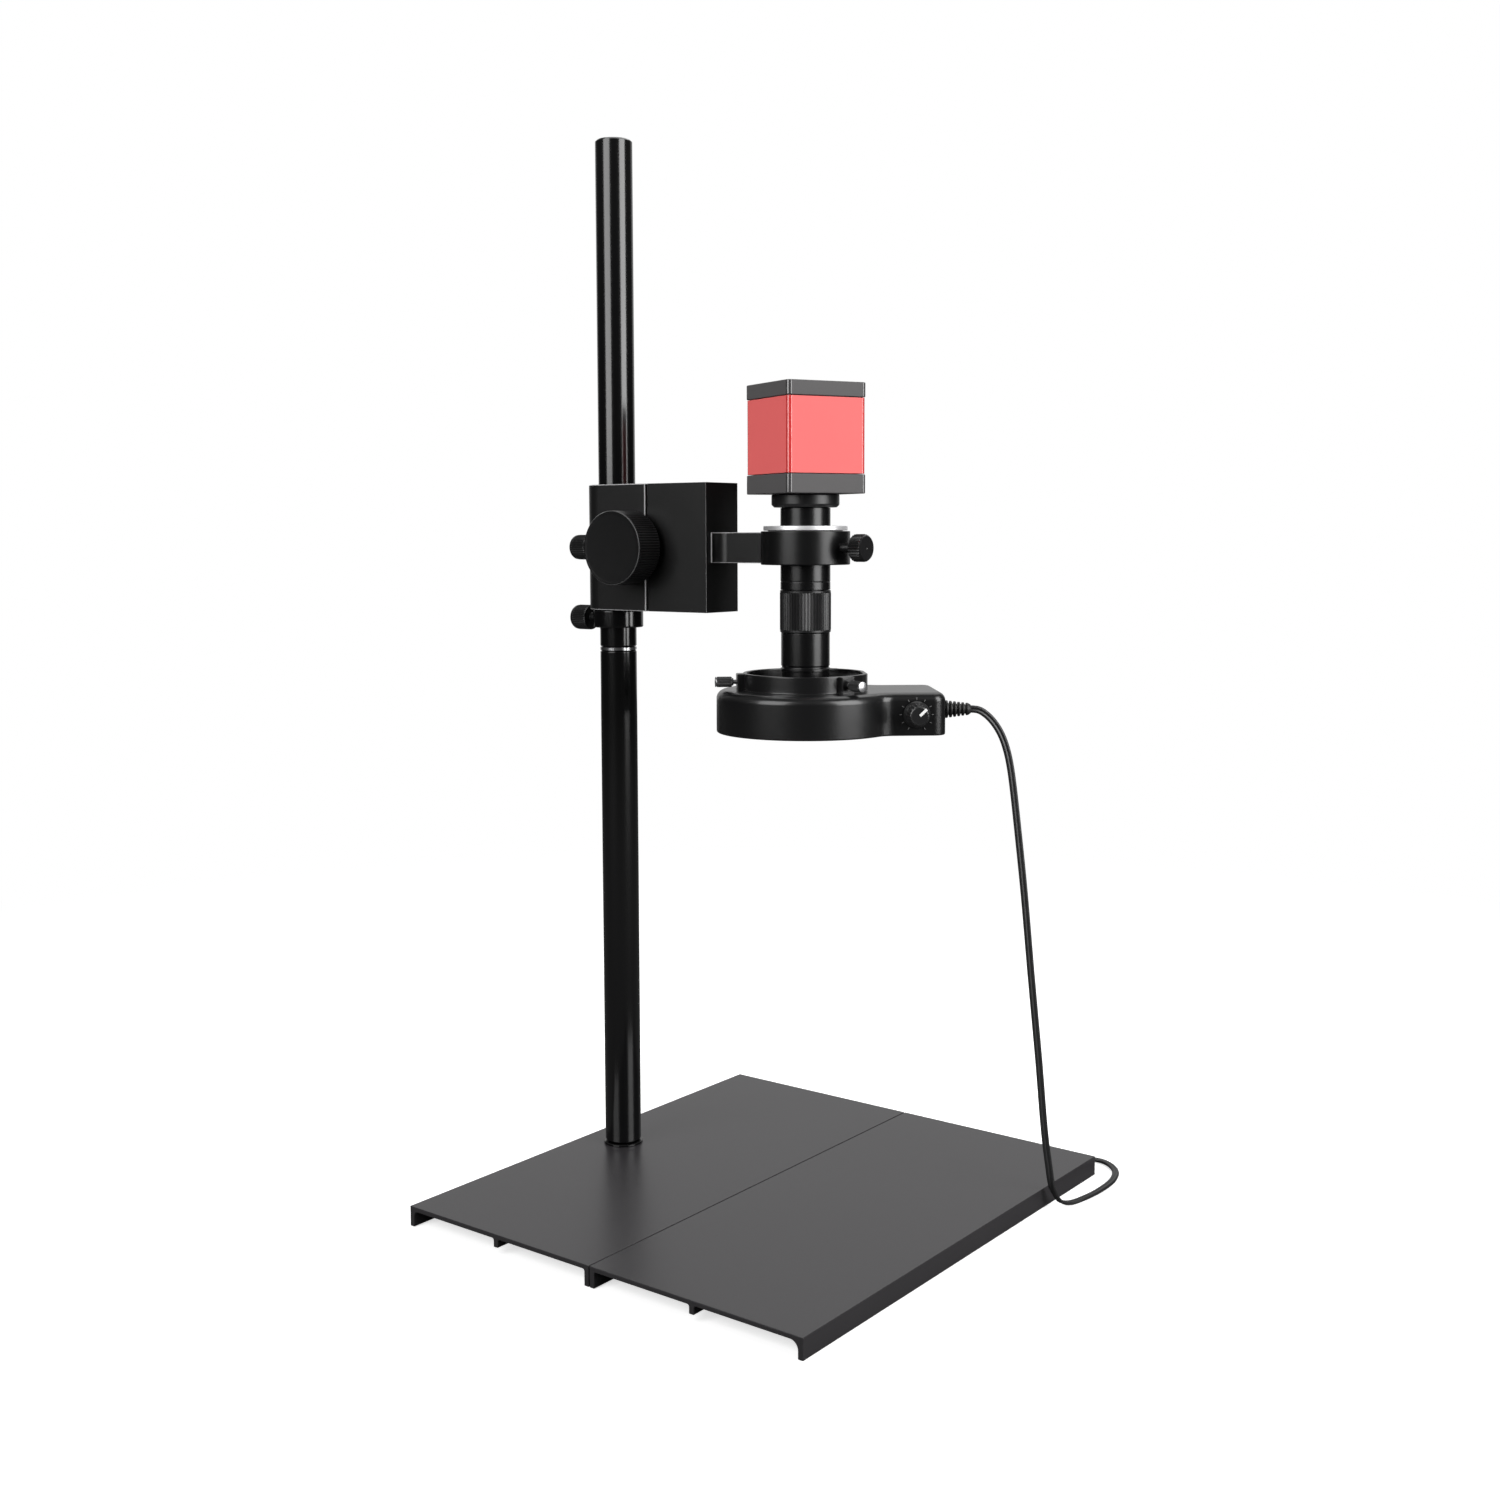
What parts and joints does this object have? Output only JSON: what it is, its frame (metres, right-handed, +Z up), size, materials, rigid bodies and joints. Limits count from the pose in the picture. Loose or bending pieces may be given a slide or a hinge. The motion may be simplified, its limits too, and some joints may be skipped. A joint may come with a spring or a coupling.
{
  "type": "video microscope on a post stand",
  "caption": "Video microscope: square red camera head on a zoom lens with a ring light, held by a rack-and-pinion focus block on a tall post with a flat ribbed base.",
  "frame": {"origin": "middle of the stand's outline, on the surface that it stands on", "axes": "+Z up along the post, +Y from the lens towards the post, +X to the side of the light's control box"},
  "size_m": [0.3116, 0.2842, 0.591],
  "materials": {
    "base_black": "satin",
    "black_anodised": "satin",
    "gloss_black": "gloss",
    "bright_steel": "bright",
    "brass": "satin",
    "turned_aluminium": "turned",
    "red_anodised": "satin",
    "dark_grey": "satin",
    "coated_glass": "polished",
    "board_green": "matt",
    "black_plastic": "fine texture",
    "white_board": "matt",
    "black_rubber": "matt"
  },
  "bodies": {
    "stand": {"base_rear": "base_black", "base_front": "base_black", "seam_screw_left": "bright_steel", "seam_screw_right": "bright_steel", "foot_screw": "bright_steel", "foot_washer": "gloss_black", "lower_rod": "gloss_black", "rod_coupler": "bright_steel", "upper_rod": "gloss_black", "light_cord_laid": "black_rubber", "cord_coil": "black_rubber", "plug_grip": "black_rubber", "plug_shell": "bright_steel"},
    "stop_collar_body": {"stop_collar": "black_anodised"},
    "collar_knob_body": {"collar_knob": "black_anodised"},
    "focus_block": {"clamp_block": "black_anodised", "pinion_bush_left": "brass", "pinion_bush_right": "brass"},
    "clamp_knob_body": {"clamp_knob": "black_anodised"},
    "focus_shaft": {"pinion_shaft": "bright_steel", "focus_knob_left": "black_anodised", "focus_knob_right": "black_anodised"},
    "carriage_body": {"carriage": "black_anodised", "rack": "brass", "gib_strip": "brass", "gib_screw_lower": "bright_steel", "gib_screw_upper": "bright_steel", "arm_screw_lower": "bright_steel", "arm_screw_upper": "bright_steel", "ring_arm": "black_anodised"},
    "ring_lock": {"ring_lock_knob": "black_anodised"},
    "lens": {"adapter_ring": "turned_aluminium", "upper_barrel": "gloss_black", "lower_barrel": "gloss_black", "front_lens": "coated_glass", "rear_lens": "coated_glass"},
    "zoom": {"zoom_ring": "black_anodised"},
    "zoom_group": {"zoom_cell": "black_anodised", "zoom_lens": "coated_glass"},
    "camera_head": {"head_bottom_cap": "dark_grey", "head_shell": "red_anodised", "head_top_cap": "dark_grey", "sensor_board": "board_green", "image_sensor": "coated_glass", "main_board": "board_green", "hdmi_socket": "bright_steel", "usb_socket": "bright_steel", "power_jack": "black_plastic", "mount_ring": "black_anodised"},
    "ring_light": {"light_housing": "black_plastic", "led_board": "white_board", "box_cover": "black_plastic", "driver_board": "board_green", "dial_potentiometer": "bright_steel", "strain_relief": "black_rubber", "light_cord": "black_rubber"},
    "dial": {"brightness_dial": "black_plastic"},
    "thumb_1": {"thumb_screw_1": "bright_steel"},
    "thumb_2": {"thumb_screw_2": "bright_steel"},
    "thumb_3": {"thumb_screw_3": "bright_steel"}
  },
  "joints": [
    {"name": "collar_slide", "type": "slide", "parent": "stand", "child": "stop_collar_body", "axis": [0, 0, 1], "range_m": [-0.2, 0.18], "deforming": ["light_cord"]},
    {"name": "collar_knob_turn", "type": "hinge", "parent": "stop_collar_body", "child": "collar_knob_body", "pos_m": [0, 0.10145, 0.3219], "axis": [0, 1, 0], "range_deg": [-180, 180]},
    {"name": "block_swivel", "type": "hinge", "parent": "stop_collar_body", "child": "focus_block", "pos_m": [0, 0.10145, 0.3272], "axis": [0, 0, 1], "range_deg": [-110, 110]},
    {"name": "clamp_knob_turn", "type": "hinge", "parent": "focus_block", "child": "clamp_knob_body", "pos_m": [0, 0.10145, 0.3627], "axis": [0, 1, 0], "range_deg": [-180, 180]},
    {"name": "carriage_slide", "type": "slide", "parent": "focus_block", "child": "carriage_body", "axis": [0, 0, 1], "range_m": [-0.025, 0.025]},
    {"name": "focus_turn", "type": "hinge", "parent": "focus_block", "child": "focus_shaft", "pos_m": [0, 0.07405, 0.3627], "axis": [1, 0, 0], "range_deg": [-240, 240]},
    {"name": "ring_lock_turn", "type": "hinge", "parent": "carriage_body", "child": "ring_lock", "pos_m": [0, -0.06045, 0.3627], "axis": [0, -1, 0], "range_deg": [-180, 180]},
    {"name": "lens_turn", "type": "hinge", "parent": "carriage_body", "child": "lens", "pos_m": [0, -0.03145, 0.3627], "axis": [0, 0, 1], "range_deg": [-180, 180]},
    {"name": "zoom_turn", "type": "hinge", "parent": "lens", "child": "zoom", "pos_m": [0, -0.03145, 0.329], "axis": [0, 0, 1], "range_deg": [-75, 75]},
    {"name": "zoom_cell_slide", "type": "slide", "parent": "lens", "child": "zoom_group", "axis": [0, 0, 1], "range_m": [-0.004, 0.004]},
    {"name": "head_turn", "type": "hinge", "parent": "lens", "child": "camera_head", "pos_m": [0, -0.03145, 0.391], "axis": [0, 0, 1], "range_deg": [-180, 180]},
    {"name": "light_turn", "type": "hinge", "parent": "lens", "child": "ring_light", "pos_m": [0, -0.03145, 0.265], "axis": [0, 0, 1], "range_deg": [-90, 90]},
    {"name": "dial_turn", "type": "hinge", "parent": "ring_light", "child": "dial", "pos_m": [0.01531, -0.0917, 0.27625], "axis": [-0.766, -0.6428, 0], "range_deg": [-105, 195]},
    {"name": "thumb_1_turn", "type": "hinge", "parent": "ring_light", "child": "thumb_1", "pos_m": [-0.01155, -0.06922, 0.2919], "axis": [-0.2924, -0.9563, 0], "range_deg": [-180, 180]},
    {"name": "thumb_2_turn", "type": "hinge", "parent": "ring_light", "child": "thumb_2", "pos_m": [0.03849, -0.02256, 0.2919], "axis": [0.9744, 0.225, 0], "range_deg": [-180, 180]},
    {"name": "thumb_3_turn", "type": "hinge", "parent": "ring_light", "child": "thumb_3", "pos_m": [-0.02694, -0.00256, 0.2919], "axis": [-0.682, 0.7314, 0], "range_deg": [-180, 180]}
  ],
  "couplings": [
    {"joint": "focus_turn", "follows": "carriage_slide", "rad_per_m": -166.67},
    {"joint": "zoom_cell_slide", "follows": "zoom_turn", "m_per_rad": 0.0029947}
  ]
}
